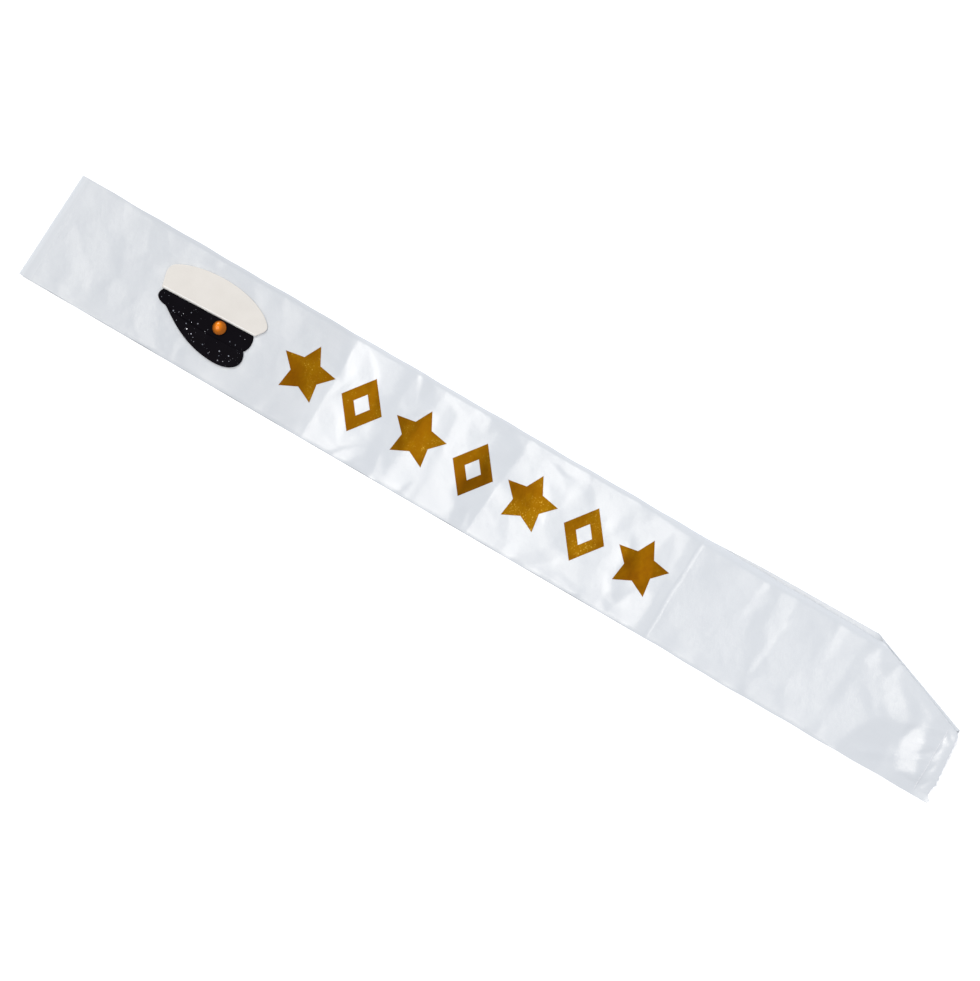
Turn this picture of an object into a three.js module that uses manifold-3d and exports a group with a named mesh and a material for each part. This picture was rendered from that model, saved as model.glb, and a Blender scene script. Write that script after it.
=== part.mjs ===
// A white satin shoulder sash, lying flat as a pressed loop. The ribbon runs from its sewn hip end along
// the floor, rolls over at the shoulder fold and comes back on top, where gold foil ornaments and a
// felt cap badge lie on it. At the hip both ends are turned in along a slanting pleat and sewn.
// Millimetres. +X runs along the sash to the hip, +Y across it, +Z up from the floor.
import * as THREE from "three";
import { mergeVertices } from "three/addons/utils/BufferGeometryUtils.js";
import Module from "manifold-3d";

const wasm = await Module();
wasm.setup();

// The folded sash.
const sash = { width: 101, wall: 1, rest: 6.9 };
const backHeight = sash.wall / 2;
const rollRadius = (sash.rest - backHeight) / 2;
const shoulder = { x: -445.5, steps: 6 };

// The front run's folds, from the shoulder to the pleat. Each crosses the sash in a straight line: where it
// meets the upper and the lower edge, and how high the satin rises over its rest height there. The sash was
// packed folded crosswise every 170 mm, and the satin is creased down to 0 along those folds.
const folds = [
  { upperX: -443, lowerX: -448, upperRise: 0, lowerRise: 0 },
  { upperX: -402, lowerX: -410, upperRise: 0.5, lowerRise: 0.9 },
  { upperX: -384, lowerX: -374, upperRise: 1.2, lowerRise: 1.0 },
  { upperX: -339, lowerX: -341, upperRise: 0, lowerRise: 0 },
  { upperX: -316, lowerX: -308, upperRise: 0.8, lowerRise: 0.9 },
  { upperX: -262, lowerX: -266, upperRise: 1.2, lowerRise: 1.1 },
  { upperX: -232, lowerX: -222, upperRise: 2.3, lowerRise: 2.5 },
  { upperX: -171.5, lowerX: -172, upperRise: 0, lowerRise: 0 },
  { upperX: -147, lowerX: -140, upperRise: 2.1, lowerRise: 2.5 },
  { upperX: -124, lowerX: -127, upperRise: 1.9, lowerRise: 2.1 },
  { upperX: -84, lowerX: -97, upperRise: 0.5, lowerRise: 0.7 },
  { upperX: -68, lowerX: -71, upperRise: 1.7, lowerRise: 2.2 },
  { upperX: -55, lowerX: -58, upperRise: 1.8, lowerRise: 1.6 },
  { upperX: -40, lowerX: -29, upperRise: 2.2, lowerRise: 2.8 },
  { upperX: -1.5, lowerX: -8, upperRise: 0, lowerRise: 0 },
  { upperX: 22, lowerX: 17, upperRise: 1.8, lowerRise: 2.0 },
  { upperX: 47, lowerX: 49, upperRise: 2.2, lowerRise: 2.6 },
  { upperX: 62, lowerX: 57, upperRise: 2.3, lowerRise: 2.0 },
  { upperX: 90, lowerX: 98, upperRise: 3.0, lowerRise: 2.9 },
  { upperX: 109, lowerX: 108, upperRise: 2.4, lowerRise: 2.4 },
  { upperX: 120, lowerX: 117, upperRise: 2.6, lowerRise: 2.8 },
  { upperX: 134, lowerX: 136, upperRise: 2.2, lowerRise: 2.3 },
  { upperX: 159, lowerX: 157, upperRise: 3.2, lowerRise: 3.2 },
  { upperX: 168, lowerX: 166.5, upperRise: 0.5, lowerRise: 0.5 },
  { upperX: 172, lowerX: 170.5, upperRise: 1.1, lowerRise: 1.1 },
  { upperX: 178, lowerX: 177, upperRise: 0.7, lowerRise: 0.7 },
  { upperX: 238, lowerX: 244, upperRise: 0.9, lowerRise: 1.1 },
  { upperX: 267.5, lowerX: 268, upperRise: 2.1, lowerRise: 1.1 },
  { upperX: 305, lowerX: 306, upperRise: 0.4, lowerRise: 0.8 },
  { upperX: 324, lowerX: 320, upperRise: 1.5, lowerRise: 1.0 },
  { upperX: 343, lowerX: 343, upperRise: 1.2, lowerRise: 0.9 },
];
const foldPitch = 11.4;

// Rolls beside the pleat and the seam: the middle of each, its heading from the sash's length, how far it
// runs and spreads, and how high it rises.
const ridges = [
  { x: 356, y: 34, heading: 70, run: 14, spread: 8, rise: 0.7 },
  { x: 388, y: 12, heading: -22, run: 40, spread: 9, rise: 1.1 },
  { x: 416, y: -19, heading: 74, run: 20, spread: 9, rise: 1.2 },
];
const curl = { drop: 0.5, reach: 7, fadeX: 50 };

// At the hip the upper corner of each run turns in along a pleat line, and a seam closes the loop.
const pleat = { startX: 341, startY: 54.5, angle: THREE.MathUtils.degToRad(20), radius: 0.8, slack: 2.5, rollSteps: 4 };
const seam = { x: 431, width: 3, low: -46, high: 12, press: 1.9, flapRest: 5.3 };
const gathers = { pitch: 13, rise: 0.9, reach: 16 };
const frontEnd = [
  { y: -52.5, x: 449 },
  { y: -48.6, x: 450.8 },
  { y: -44.4, x: 447.2 },
  { y: -39, x: 447.4 },
  { y: -35, x: 448.8 },
  { y: -12, x: 446.7 },
  { y: 8, x: 445 },
  { y: 16, x: 442.7 },
];
const backEndX = 443;
const drift = { front: -1, back: 4.4 };

// What lies on the satin, and how close.
const gap = 0.3;
const foil = { count: 7, firstX: -196.6, pitch: 55.2, thick: 0.6 };
const star = { tips: 5, outer: 26, inner: 13.6 };
const lozenge = { halfWidth: 20, halfHeight: 26, rim: 9.5 };
const felt = { crown: 2.2, band: 1.4, visor: 1.8 };
const button = { x: -280.2, y: -4.1, radius: 6.2, rise: 2.4, sides: 20, rings: 5 };

const ease = (low, high, value) => THREE.MathUtils.smoothstep(value, low, high);
const mix = THREE.MathUtils.lerp;

// Reads a table of rows at a place between them, in straight steps.
function between(rows, key, place, value) {
  const last = rows.length - 1;
  const next = rows.findIndex((row) => row[key] >= place);
  if (next === 0) return rows[0][value];
  if (next < 0) return rows[last][value];
  const [a, b] = [rows[next - 1], rows[next]];
  return mix(a[value], b[value], (place - a[key]) / (b[key] - a[key]));
}

// A fold's place along the sash, at a place across it.
const across = (y) => (y + sash.width / 2) / sash.width;
const foldX = (line, y) => mix(line.lowerX, line.upperX, across(y));

function foldsAt(x, y) {
  const next = folds.findIndex((line) => foldX(line, y) > x);
  const riseOf = (line) => mix(line.lowerRise, line.upperRise, across(y));
  if (next === 0) return 0;
  if (next < 0) return riseOf(folds[folds.length - 1]);
  const [a, b] = [folds[next - 1], folds[next]];
  return mix(riseOf(a), riseOf(b), (x - foldX(a, y)) / (foldX(b, y) - foldX(a, y)));
}

function ridgesAt(x, y) {
  let rise = 0;
  for (const ridge of ridges) {
    const heading = THREE.MathUtils.degToRad(ridge.heading);
    const along = (x - ridge.x) * Math.cos(heading) + (y - ridge.y) * Math.sin(heading);
    const aside = (y - ridge.y) * Math.cos(heading) - (x - ridge.x) * Math.sin(heading);
    rise += ridge.rise * Math.exp(-((along / ridge.run) ** 2) - (aside / ridge.spread) ** 2);
  }
  return rise;
}

// Height of the front run's middle surface over the floor.
function frontHeight(x, y) {
  const fromFold = ease(shoulder.x, shoulder.x + curl.fadeX, x);
  const fromPleat = 1 - ease(pleat.startX - curl.fadeX, pleat.startX, x);
  const edge = Math.max(0, Math.abs(y) - sash.width / 2 + curl.reach) / curl.reach;
  const loose = sash.rest + foldsAt(x, y) + ridgesAt(x, y) - fromFold * fromPleat * curl.drop * edge ** 2;
  const pressed = mix(seam.press, seam.flapRest, ease(-30, -14, y));
  const toSeam = ease(pleat.startX + 4, seam.x - 4, x);
  const wave = Math.sin((Math.PI * y) / gathers.pitch) ** 2 * Math.exp(-Math.abs(x - seam.x) / gathers.reach);
  return mix(loose, pressed, toSeam) + gathers.rise * wave * toSeam;
}

const pleatY = (x) => pleat.startY - Math.tan(pleat.angle) * (x - pleat.startX);
const rollY = (x) => pleatY(x) - (pleat.radius + sash.wall / 2) / Math.cos(pleat.angle);
const driftAt = (x, most) => most * ease(-100, pleat.startX, x);

// The two runs: where each one's upper edge meets the pleat, its height, and which way its corner turns in.
const front = {
  height: frontHeight,
  drift: (x) => driftAt(x, drift.front),
  end: (y) => between(frontEnd, "y", y, "x"),
  turn: -1,
};
const back = {
  height: () => backHeight,
  drift: (x) => drift.back * Math.max(0, (x - shoulder.x) / (pleat.startX - shoulder.x)) ** 2,
  end: () => backEndX,
  turn: 1,
};
for (const run of [front, back]) {
  const upper = (x) => sash.width / 2 + run.drift(x);
  run.cornerX = pleat.startX;
  for (let step = 0; step < 20; step++) run.cornerX += (rollY(run.cornerX) - upper(run.cornerX)) / Math.tan(pleat.angle);
  run.upper = upper;
}

// Places across the ribbon, as shares of its half width.
const rowShares = [-1, -0.93, -0.85, -0.76, -0.62, -0.46, -0.3, -0.12, 0.12, 0.4, 0.66, 0.86, 0.95, 1];
const flapRows = pleat.rollSteps + 3;
const cornerSteps = [0, 4, 9, 14];
const tailX = 424;
const tails = [0.25, 0.6, 1];

// Lines across a run, each from its place at the lower edge to that at the upper one: the folds and even
// steps between them, then straight stations where the corner turns in.
function linesOf(run, marks, step) {
  const lines = [marks[0]];
  for (let k = 1; k < marks.length; k++) {
    const [a, b] = [marks[k - 1], marks[k]];
    const pieces = Math.max(1, Math.round((foldX(b, 0) - foldX(a, 0)) / step));
    for (let i = 1; i <= pieces; i++) {
      const part = i / pieces;
      lines.push({ lowerX: mix(a.lowerX, b.lowerX, part), upperX: mix(a.upperX, b.upperX, part) });
    }
  }
  const first = run.cornerX + cornerSteps[cornerSteps.length - 1];
  const pieces = Math.round((tailX - first) / step);
  const straight = cornerSteps.map((past) => run.cornerX + past);
  for (let i = 1; i <= pieces; i++) straight.push(mix(first, tailX, i / pieces));
  return [...lines, ...straight.map((x) => ({ lowerX: x, upperX: x }))];
}

// A point of a run's flat part, on a line and at a share of the half width. Past the tail station the lines
// spread to the cut end.
function flatPoint(run, line, share, tail = 0) {
  const middle = foldX(line, 0);
  const high = Math.min(run.upper(middle), rollY(middle));
  const low = run.drift(middle) - sash.width / 2;
  const y = mix(low, high, (share + 1) / 2);
  const placed = mix(foldX(line, y), run.end(y), tail);
  const capped = tail > 0 ? Math.min(y, Math.max(low, rollY(placed))) : y;
  return new THREE.Vector3(placed, capped, run.height(placed, capped));
}

// A point of the corner that is turned in, beyond the roll line: round the roll first, and then flat.
function flapPoint(run, line, row, tail = 0) {
  const x = line.upperX;
  const top = flatPoint(run, line, 1, tail);
  const normal = new THREE.Vector2(Math.sin(pleat.angle), Math.cos(pleat.angle));
  const beyond = Math.max(0, run.upper(x) - top.y) * normal.y;
  const radius = pleat.radius * mix(pleat.slack, 1, ease(run.cornerX, run.cornerX + 14, x));
  const halfTurn = Math.PI * radius;
  const onRoll = Math.min((halfTurn * row) / pleat.rollSteps, (beyond * row) / flapRows);
  const rolled = Math.min(halfTurn, (beyond * pleat.rollSteps) / flapRows);
  const share = (row - pleat.rollSteps) / (flapRows - pleat.rollSteps);
  const reach = row <= pleat.rollSteps ? onRoll : mix(rolled, beyond, share);
  const foot = new THREE.Vector2(top.x, top.y + reach / normal.y).addScaledVector(normal, -reach);
  const angle = Math.min(reach / radius, Math.PI);
  const offset = radius * Math.sin(angle) - Math.max(0, reach - halfTurn);
  const plan = foot.addScaledVector(normal, offset);
  const z = run.height(plan.x, plan.y) + run.turn * radius * (1 - Math.cos(angle));
  return new THREE.Vector3(plan.x, plan.y, z);
}

// Collects a surface's triangles, merging points that coincide and leaving out those with no area.
class Surface {
  constructor() {
    this.points = [];
    this.places = new Map();
    this.triangles = [];
  }
  point(p) {
    const key = p.toArray().map((n) => n.toFixed(4)).join();
    if (!this.places.has(key)) this.places.set(key, this.points.push(p.clone()) - 1);
    return this.places.get(key);
  }
  triangle(a, b, c) {
    const ids = [a, b, c].map((p) => this.point(p));
    if (new Set(ids).size === 3) this.triangles.push(ids);
  }
  quad(a, b, c, d) {
    this.triangle(a, b, c);
    this.triangle(a, c, d);
  }
  // Quads between neighbouring columns of points.
  weave(columns) {
    for (let i = 1; i < columns.length; i++)
      for (let j = 1; j < columns[i].length; j++)
        this.quad(columns[i - 1][j - 1], columns[i][j - 1], columns[i][j], columns[i - 1][j]);
  }
  geometry() {
    const made = new THREE.BufferGeometry().setFromPoints(this.points);
    made.setIndex(this.triangles.flat());
    return made;
  }
}

// Gives an open surface its wall, half to each side, with a rim along every free edge.
function thicken(surface, wall) {
  const normals = surface.points.map(() => new THREE.Vector3());
  const uses = new Map();
  for (const [a, b, c] of surface.triangles) {
    const [p, q, r] = [a, b, c].map((id) => surface.points[id]);
    const normal = new THREE.Vector3().crossVectors(q.clone().sub(p), r.clone().sub(p));
    for (const id of [a, b, c]) normals[id].add(normal);
    for (const [m, n] of [[a, b], [b, c], [c, a]]) {
      if (!uses.delete(`${n},${m}`)) uses.set(`${m},${n}`, [m, n]);
    }
  }
  const side = (id, sign) => surface.points[id].clone().addScaledVector(normals[id], (sign * wall) / 2);
  normals.forEach((n) => n.normalize());
  const solid = new Surface();
  for (const [a, b, c] of surface.triangles) {
    solid.triangle(side(a, 1), side(b, 1), side(c, 1));
    solid.triangle(side(c, -1), side(b, -1), side(a, -1));
  }
  for (const [m, n] of uses.values()) solid.quad(side(m, -1), side(n, -1), side(n, 1), side(m, 1));
  return solid.geometry();
}

// A closed block over a stretch of the front run, between two heights that follow the satin.
function slab(columns, low, high) {
  const surface = new Surface();
  const at = (p, height) => new THREE.Vector3(p.x, p.y, height(p));
  const tops = columns.map((column) => column.map((p) => at(p, high)));
  const bottoms = columns.map((column) => column.map((p) => at(p, low)));
  surface.weave(tops);
  surface.weave(bottoms.toReversed());
  const last = columns.length - 1;
  const end = columns[0].length - 1;
  surface.weave([bottoms.map((c) => c[0]), tops.map((c) => c[0])].toReversed());
  surface.weave([bottoms.map((c) => c[end]), tops.map((c) => c[end])]);
  surface.weave([bottoms[0], tops[0]]);
  surface.weave([bottoms[last], tops[last]].toReversed());
  return surface.geometry();
}

function solidOf(geometry) {
  const bare = geometry.index ? geometry.toNonIndexed() : geometry.clone();
  bare.deleteAttribute("normal");
  bare.deleteAttribute("uv");
  const merged = mergeVertices(bare, 1e-4);
  const mesh = { numProp: 3, vertProperties: merged.attributes.position.array, triVerts: merged.index.array };
  return new wasm.Manifold(new wasm.Mesh({ ...mesh, triVerts: new Uint32Array(mesh.triVerts) }));
}

function geometryOf(solid) {
  const { vertProperties, triVerts } = solid.getMesh();
  const made = new THREE.BufferGeometry();
  made.setAttribute("position", new THREE.BufferAttribute(vertProperties, 3));
  made.setIndex(new THREE.BufferAttribute(triVerts, 1));
  return made;
}

const backFoldEnd = { lowerX: 335, upperX: 335 };
const frontLines = linesOf(front, folds, foldPitch);
const backLines = linesOf(back, [folds[0], backFoldEnd], 5 * foldPitch);
const tailLine = { lowerX: tailX, upperX: tailX };
const column = (run, line, tail) => rowShares.map((share) => flatPoint(run, line, share, tail));
const frontColumns = frontLines.map((line) => column(front, line));

// The ribbon: back run, shoulder roll and front run in one piece, with both corners turned in.
function ribbon() {
  const surface = new Surface();
  const backColumns = backLines.map((line) => column(back, line));
  const roll = [];
  for (let step = 1; step < shoulder.steps; step++) {
    const angle = (Math.PI * step) / shoulder.steps;
    roll.push(
      frontColumns[0].map((p) => {
        const x = p.x - rollRadius * Math.sin(angle);
        return new THREE.Vector3(x, p.y, backHeight + rollRadius * (1 - Math.cos(angle)));
      }),
    );
  }
  const backTail = tails.map((tail) => column(back, tailLine, tail));
  const frontTail = tails.map((tail) => column(front, tailLine, tail));
  surface.weave([...backTail.toReversed(), ...backColumns.toReversed(), ...roll, ...frontColumns, ...frontTail]);
  for (const [run, lines] of [[front, frontLines], [back, backLines]]) {
    const cut = lines.filter((line) => line.upperX >= run.cornerX);
    const flap = (line, tail) => Array.from({ length: flapRows + 1 }, (_, row) => flapPoint(run, line, row, tail));
    const columns = [...cut.map((line) => flap(line)), ...tails.map((tail) => flap(tailLine, tail))];
    surface.weave(run === front ? columns : columns.toReversed());
  }
  const weldRows = column(front, tailLine, tails[0]).filter((p) => p.y > seam.low && p.y < seam.high);
  const weldXs = [seam.x - seam.width / 2, seam.x + seam.width / 2];
  const weldColumns = weldXs.map((x) => weldRows.map((p) => new THREE.Vector3(x, p.y, frontHeight(x, p.y))));
  const weld = slab(weldColumns, () => backHeight, (p) => p.z);
  return geometryOf(solidOf(thicken(surface, sash.wall)).add(solidOf(weld)));
}

// A flat appliqué that follows the satin under it: its outline, cut through a layer over the front run.
function applique(outline, thick) {
  const points = outline.getPoints(12);
  const reachX = [Math.min(...points.map((p) => p.x)), Math.max(...points.map((p) => p.x))];
  const spread = 20;
  const near = frontColumns.filter((c) => c[0].x > reachX[0] - spread && c[0].x < reachX[1] + spread);
  const under = (p) => p.z + sash.wall / 2 + gap;
  const layer = slab(near, under, (p) => under(p) + thick);
  const cutter = new THREE.ExtrudeGeometry(outline, { depth: 40, bevelEnabled: false, curveSegments: 12 });
  return geometryOf(solidOf(layer).intersect(solidOf(cutter)));
}

function starOutline(x, y) {
  const shape = new THREE.Shape();
  for (let corner = 0; corner < 2 * star.tips; corner++) {
    const angle = Math.PI / 2 + (Math.PI * corner) / star.tips;
    const radius = corner % 2 ? star.inner : star.outer;
    const place = [x + radius * Math.cos(angle), y + radius * Math.sin(angle)];
    if (corner) shape.lineTo(...place);
    else shape.moveTo(...place);
  }
  return shape.closePath() ?? shape;
}

function lozengeOutline(x, y) {
  const corners = (inset) => {
    const wide = lozenge.halfWidth * (1 - inset);
    const high = lozenge.halfHeight * (1 - inset);
    return [[x + wide, y], [x, y + high], [x - wide, y], [x, y - high]].map((p) => new THREE.Vector2(...p));
  };
  const shape = new THREE.Shape(corners(0));
  const inset = (lozenge.rim * Math.hypot(1 / lozenge.halfWidth, 1 / lozenge.halfHeight)) / 1;
  shape.holes.push(new THREE.Path(corners(inset).reverse()));
  return shape;
}

// The cap badge, seen from its side: a full crown, a band under it and a visor below the band.
function crownOutline() {
  const shape = new THREE.Shape();
  shape.moveTo(-340.6, 1.6);
  shape.lineTo(-343.6, 14);
  shape.quadraticCurveTo(-344.6, 20, -339.5, 24.6);
  shape.bezierCurveTo(-325, 33.5, -294, 38.5, -268, 31);
  shape.bezierCurveTo(-257, 27.5, -249, 23, -245, 17.6);
  shape.quadraticCurveTo(-243.4, 14.6, -245.4, 11.4);
  shape.lineTo(-250.2, 4.9);
  shape.lineTo(-340.6, 1.6);
  return shape;
}

function bandOutline() {
  const shape = new THREE.Shape();
  shape.moveTo(-338.4, 1.2);
  shape.quadraticCurveTo(-342.4, -2, -341, -6);
  shape.quadraticCurveTo(-338.5, -9.6, -331, -10.4);
  shape.bezierCurveTo(-310, -14.6, -275, -14.8, -252.4, -11.6);
  shape.quadraticCurveTo(-247.8, -8.6, -247.8, -3);
  shape.quadraticCurveTo(-247.9, 2, -250.8, 4.4);
  shape.lineTo(-338.4, 1.2);
  return shape;
}

function visorOutline() {
  const shape = new THREE.Shape();
  shape.moveTo(-329.6, -10.9);
  shape.bezierCurveTo(-318, -18, -300, -32.6, -270, -32.6);
  shape.bezierCurveTo(-256, -32.2, -248.6, -26, -249.4, -18.4);
  shape.quadraticCurveTo(-249.8, -14.6, -252.2, -11.9);
  shape.bezierCurveTo(-275, -15.1, -310, -14.9, -329.6, -10.9);
  return shape;
}

function buttonGeometry() {
  const profile = [new THREE.Vector2(0, 0)];
  for (let ring = 0; ring <= button.rings; ring++) {
    const angle = (Math.PI / 2) * (ring / button.rings);
    profile.push(new THREE.Vector2(button.radius * Math.cos(angle), 0.4 + button.rise * Math.sin(angle)));
  }
  profile.splice(1, 0, new THREE.Vector2(button.radius, 0));
  profile[profile.length - 1].x = 0;
  return new THREE.LatheGeometry(profile, button.sides).rotateX(Math.PI / 2);
}

// Highest point of the band's face under the button.
function buttonSeat() {
  let highest = 0;
  for (let step = 0; step < button.sides; step++) {
    const angle = (2 * Math.PI * step) / button.sides;
    for (const radius of [button.radius, button.radius / 2]) {
      const [x, y] = [button.x + radius * Math.cos(angle), button.y + radius * Math.sin(angle)];
      highest = Math.max(highest, frontHeight(x, y));
    }
  }
  return highest + sash.wall / 2 + gap + felt.band + gap;
}

const satinWhite = new THREE.MeshStandardMaterial({ color: 0xe3e6ec, roughness: 0.38, metalness: 0 });
const foilGold = new THREE.MeshStandardMaterial({ color: 0xb0740c, roughness: 0.3, metalness: 0.8 });
const feltCream = new THREE.MeshStandardMaterial({ color: 0xe9e5dd, roughness: 0.95, metalness: 0 });
const feltBlack = new THREE.MeshStandardMaterial({ color: 0x15131a, roughness: 0.6, metalness: 0 });
const buttonGold = new THREE.MeshStandardMaterial({ color: 0xe08a1e, roughness: 0.25, metalness: 0.7 });

const model = new THREE.Group();
function add(name, geometry, material) {
  const mesh = new THREE.Mesh(geometry, material);
  mesh.name = name;
  model.add(mesh);
  return mesh;
}

add("satin_ribbon", ribbon(), satinWhite);
for (let place = 0; place < foil.count; place++) {
  const x = foil.firstX + place * foil.pitch;
  const outline = place % 2 ? lozengeOutline(x, 0) : starOutline(x, 0);
  const kind = place % 2 ? "foil_lozenge" : "foil_star";
  add(`${kind}_${Math.floor(place / 2) + 1}`, applique(outline, foil.thick), foilGold);
}
add("cap_crown", applique(crownOutline(), felt.crown), feltCream);
add("cap_band", applique(bandOutline(), felt.band), feltBlack);
add("cap_visor", applique(visorOutline(), felt.visor), feltBlack);
add("cap_button", buttonGeometry(), buttonGold).position.set(button.x, button.y, buttonSeat());

// The part's origin is under the middle of its box.
const middle = new THREE.Box3().setFromObject(model, true).getCenter(new THREE.Vector3()).setZ(0);
for (const mesh of model.children) mesh.position.sub(middle);

export default model;
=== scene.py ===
import math

import bpy
import numpy as np
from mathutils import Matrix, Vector, geometry
from mathutils.bvhtree import BVHTree


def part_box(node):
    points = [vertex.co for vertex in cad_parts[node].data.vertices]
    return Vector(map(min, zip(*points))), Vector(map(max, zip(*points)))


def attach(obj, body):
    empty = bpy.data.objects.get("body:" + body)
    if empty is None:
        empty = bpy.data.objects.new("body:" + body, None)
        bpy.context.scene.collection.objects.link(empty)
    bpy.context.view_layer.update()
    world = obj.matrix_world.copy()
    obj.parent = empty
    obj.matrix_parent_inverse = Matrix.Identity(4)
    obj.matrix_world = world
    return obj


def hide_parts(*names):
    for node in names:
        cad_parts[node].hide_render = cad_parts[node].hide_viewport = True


# A white satin sash, lying flat as a pressed loop, with foil ornaments and a felt cap badge.
# Sizes are in millimetres until a mesh is made, and metres from there on.

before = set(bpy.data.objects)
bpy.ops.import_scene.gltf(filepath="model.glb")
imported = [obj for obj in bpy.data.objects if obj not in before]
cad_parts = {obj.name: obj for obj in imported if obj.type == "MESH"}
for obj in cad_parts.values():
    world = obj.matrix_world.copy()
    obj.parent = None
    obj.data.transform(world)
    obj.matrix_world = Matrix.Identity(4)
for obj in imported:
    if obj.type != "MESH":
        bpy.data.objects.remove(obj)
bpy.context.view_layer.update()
mm = 0.001

# Places along and across the sash are counted from a point near its middle. The part's origin is under the
# middle of its box, and the button's solid tells how far apart the two are.
button = {
    "x": -280.2, "y": -4.1, "radius": 6.2, "rise": 2.7, "foot": 0.5, "gap": 0.12,
    "segments": 48, "rings": 24, "edge": 0.25, "edgeSteps": 3, "seats": 24, "smoothTo": 50,
}
buttonLow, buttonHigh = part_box("cap_button")
shiftX = (buttonLow[0] + buttonHigh[0]) / 2 / mm - button["x"]
shiftY = (buttonLow[1] + buttonHigh[1]) / 2 / mm - button["y"]
rng = np.random.default_rng(41)
above = 0.05  # rays are dropped from here, well over the sash


# Little helpers.

def ease(low, high, value):
    t = np.clip((value - low) / (high - low), 0, 1)
    return t * t * (3 - 2 * t)


def mix(a, b, t):
    return a + (b - a) * t


def deselect():
    if bpy.context.object and bpy.context.object.mode != "OBJECT":
        bpy.ops.object.mode_set(mode="OBJECT")
    bpy.ops.object.select_all(action="DESELECT")


def pick(piece):
    deselect()
    piece.select_set(True)
    bpy.context.view_layer.objects.active = piece


def placed(x, y, z=0):
    # a spot in millimetres, counted from near the middle, as the scene's metres
    return ((x + shiftX) * mm, (y + shiftY) * mm, z * mm)


def openMesh(piece):
    # into edit mode, with everything selected
    pick(piece)
    bpy.ops.object.mode_set(mode="EDIT")
    bpy.ops.mesh.select_all(action="SELECT")


def closeMesh():
    bpy.ops.object.mode_set(mode="OBJECT")


def settle(piece):
    # puts the object's place into its mesh
    pick(piece)
    bpy.ops.object.transform_apply(location=True, rotation=True, scale=True)
    return piece


def modify(piece, kind, **settings):
    modifier = piece.modifiers.new(kind.title(), kind)
    for key, value in settings.items():
        setattr(modifier, key, value)
    pick(piece)
    bpy.ops.object.modifier_apply(modifier=modifier.name)


def smooth(piece, angle=None):
    pick(piece)
    if angle is None:
        bpy.ops.object.shade_smooth()
    else:
        bpy.ops.object.shade_smooth_by_angle(angle=math.radians(angle))
    return piece


def readPoints(piece):
    flat = np.empty(len(piece.data.vertices) * 3)
    piece.data.vertices.foreach_get("co", flat)
    return flat.reshape(-1, 3)


def writePoints(piece, points):
    piece.data.vertices.foreach_set("co", points.ravel())
    piece.data.update()


# Materials.

class Wire:
    # a socket in a material, so that shader maths reads as plain maths
    def __init__(self, finish, socket):
        self.finish = finish
        self.socket = socket

    def maths(self, operation, *values):
        sockets = dict(enumerate(values or (self,)))
        return self.finish.node("Math", {"operation": operation}, sockets)

    def __add__(self, other):
        return self.maths("ADD", self, other)

    def __sub__(self, other):
        return self.maths("SUBTRACT", self, other)

    def __rsub__(self, other):
        return self.maths("SUBTRACT", other, self)

    def __mul__(self, other):
        return self.maths("MULTIPLY", self, other)

    __radd__ = __add__
    __rmul__ = __mul__


class Finish:
    def __init__(self, name, **sockets):
        self.material = bpy.data.materials.new(name)
        self.material.use_nodes = True
        self.tree = self.material.node_tree
        self.shader = self.tree.nodes["Principled BSDF"]
        self.feed(self.shader, sockets)

    def feed(self, node, values):
        for key, value in values.items():
            socket = node.inputs[key.replace("_", " ") if isinstance(key, str) else key]
            if isinstance(value, Wire):
                self.tree.links.new(value.socket, socket)
            elif isinstance(value, tuple) and len(value) == 3 and socket.type == "RGBA":
                socket.default_value = (*value, 1)
            else:
                socket.default_value = value

    def node(self, kind, settings=None, sockets=None, out=0):
        made = self.tree.nodes.new("ShaderNode" + kind)
        for key, value in (settings or {}).items():
            if key == "stops":
                while len(made.color_ramp.elements) < len(value):
                    made.color_ramp.elements.new(0.5)
                for stop, (place, shade) in zip(made.color_ramp.elements, value):
                    stop.position = place
                    stop.color = (*shade, 1) if isinstance(shade, tuple) else (shade, shade, shade, 1)
            else:
                setattr(made, key, value)
        self.feed(made, sockets or {})
        return Wire(self, made.outputs[out])

    def place(self, scale=(1, 1, 1), turn=0, source="Object"):
        made = self.node("TexCoord", out=source)
        sockets = {"Vector": made, "Scale": scale, "Rotation": (0, 0, turn)}
        return self.node("Mapping", None, sockets)

    def noise(self, where, scale, detail=3, rough=0.55):
        sockets = {"Vector": where, "Scale": scale, "Detail": detail, "Roughness": rough}
        return self.node("TexNoise", None, sockets)

    def wave(self, where, direction, scale, distortion):
        sockets = {"Vector": where, "Scale": scale, "Distortion": distortion}
        return self.node("TexWave", {"bands_direction": direction}, sockets)

    def fade(self, value, limits, most):
        # most at the first limit, nothing from the second one on
        low, high = limits
        sockets = {"Value": value, "From Min": low, "From Max": high, "To Min": most, "To Max": 0.0}
        return self.node("MapRange", None, sockets)

    def ramp(self, value, *stops):
        return self.node("ValToRGB", {"stops": stops}, {"Fac": value})

    def blend(self, factor, a, b):
        return self.node("Mix", {"data_type": "RGBA"}, {0: factor, 6: a, 7: b}, out=2)

    def bump(self, height, strength, distance, under=None):
        sockets = {"Height": height, "Strength": strength, "Distance": distance}
        if under is not None:
            sockets["Normal"] = under
        return self.node("Bump", None, sockets)

    def wear(self, **sockets):
        # links to the shader's own sockets
        self.feed(self.shader, sockets)
        return self.material


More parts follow.
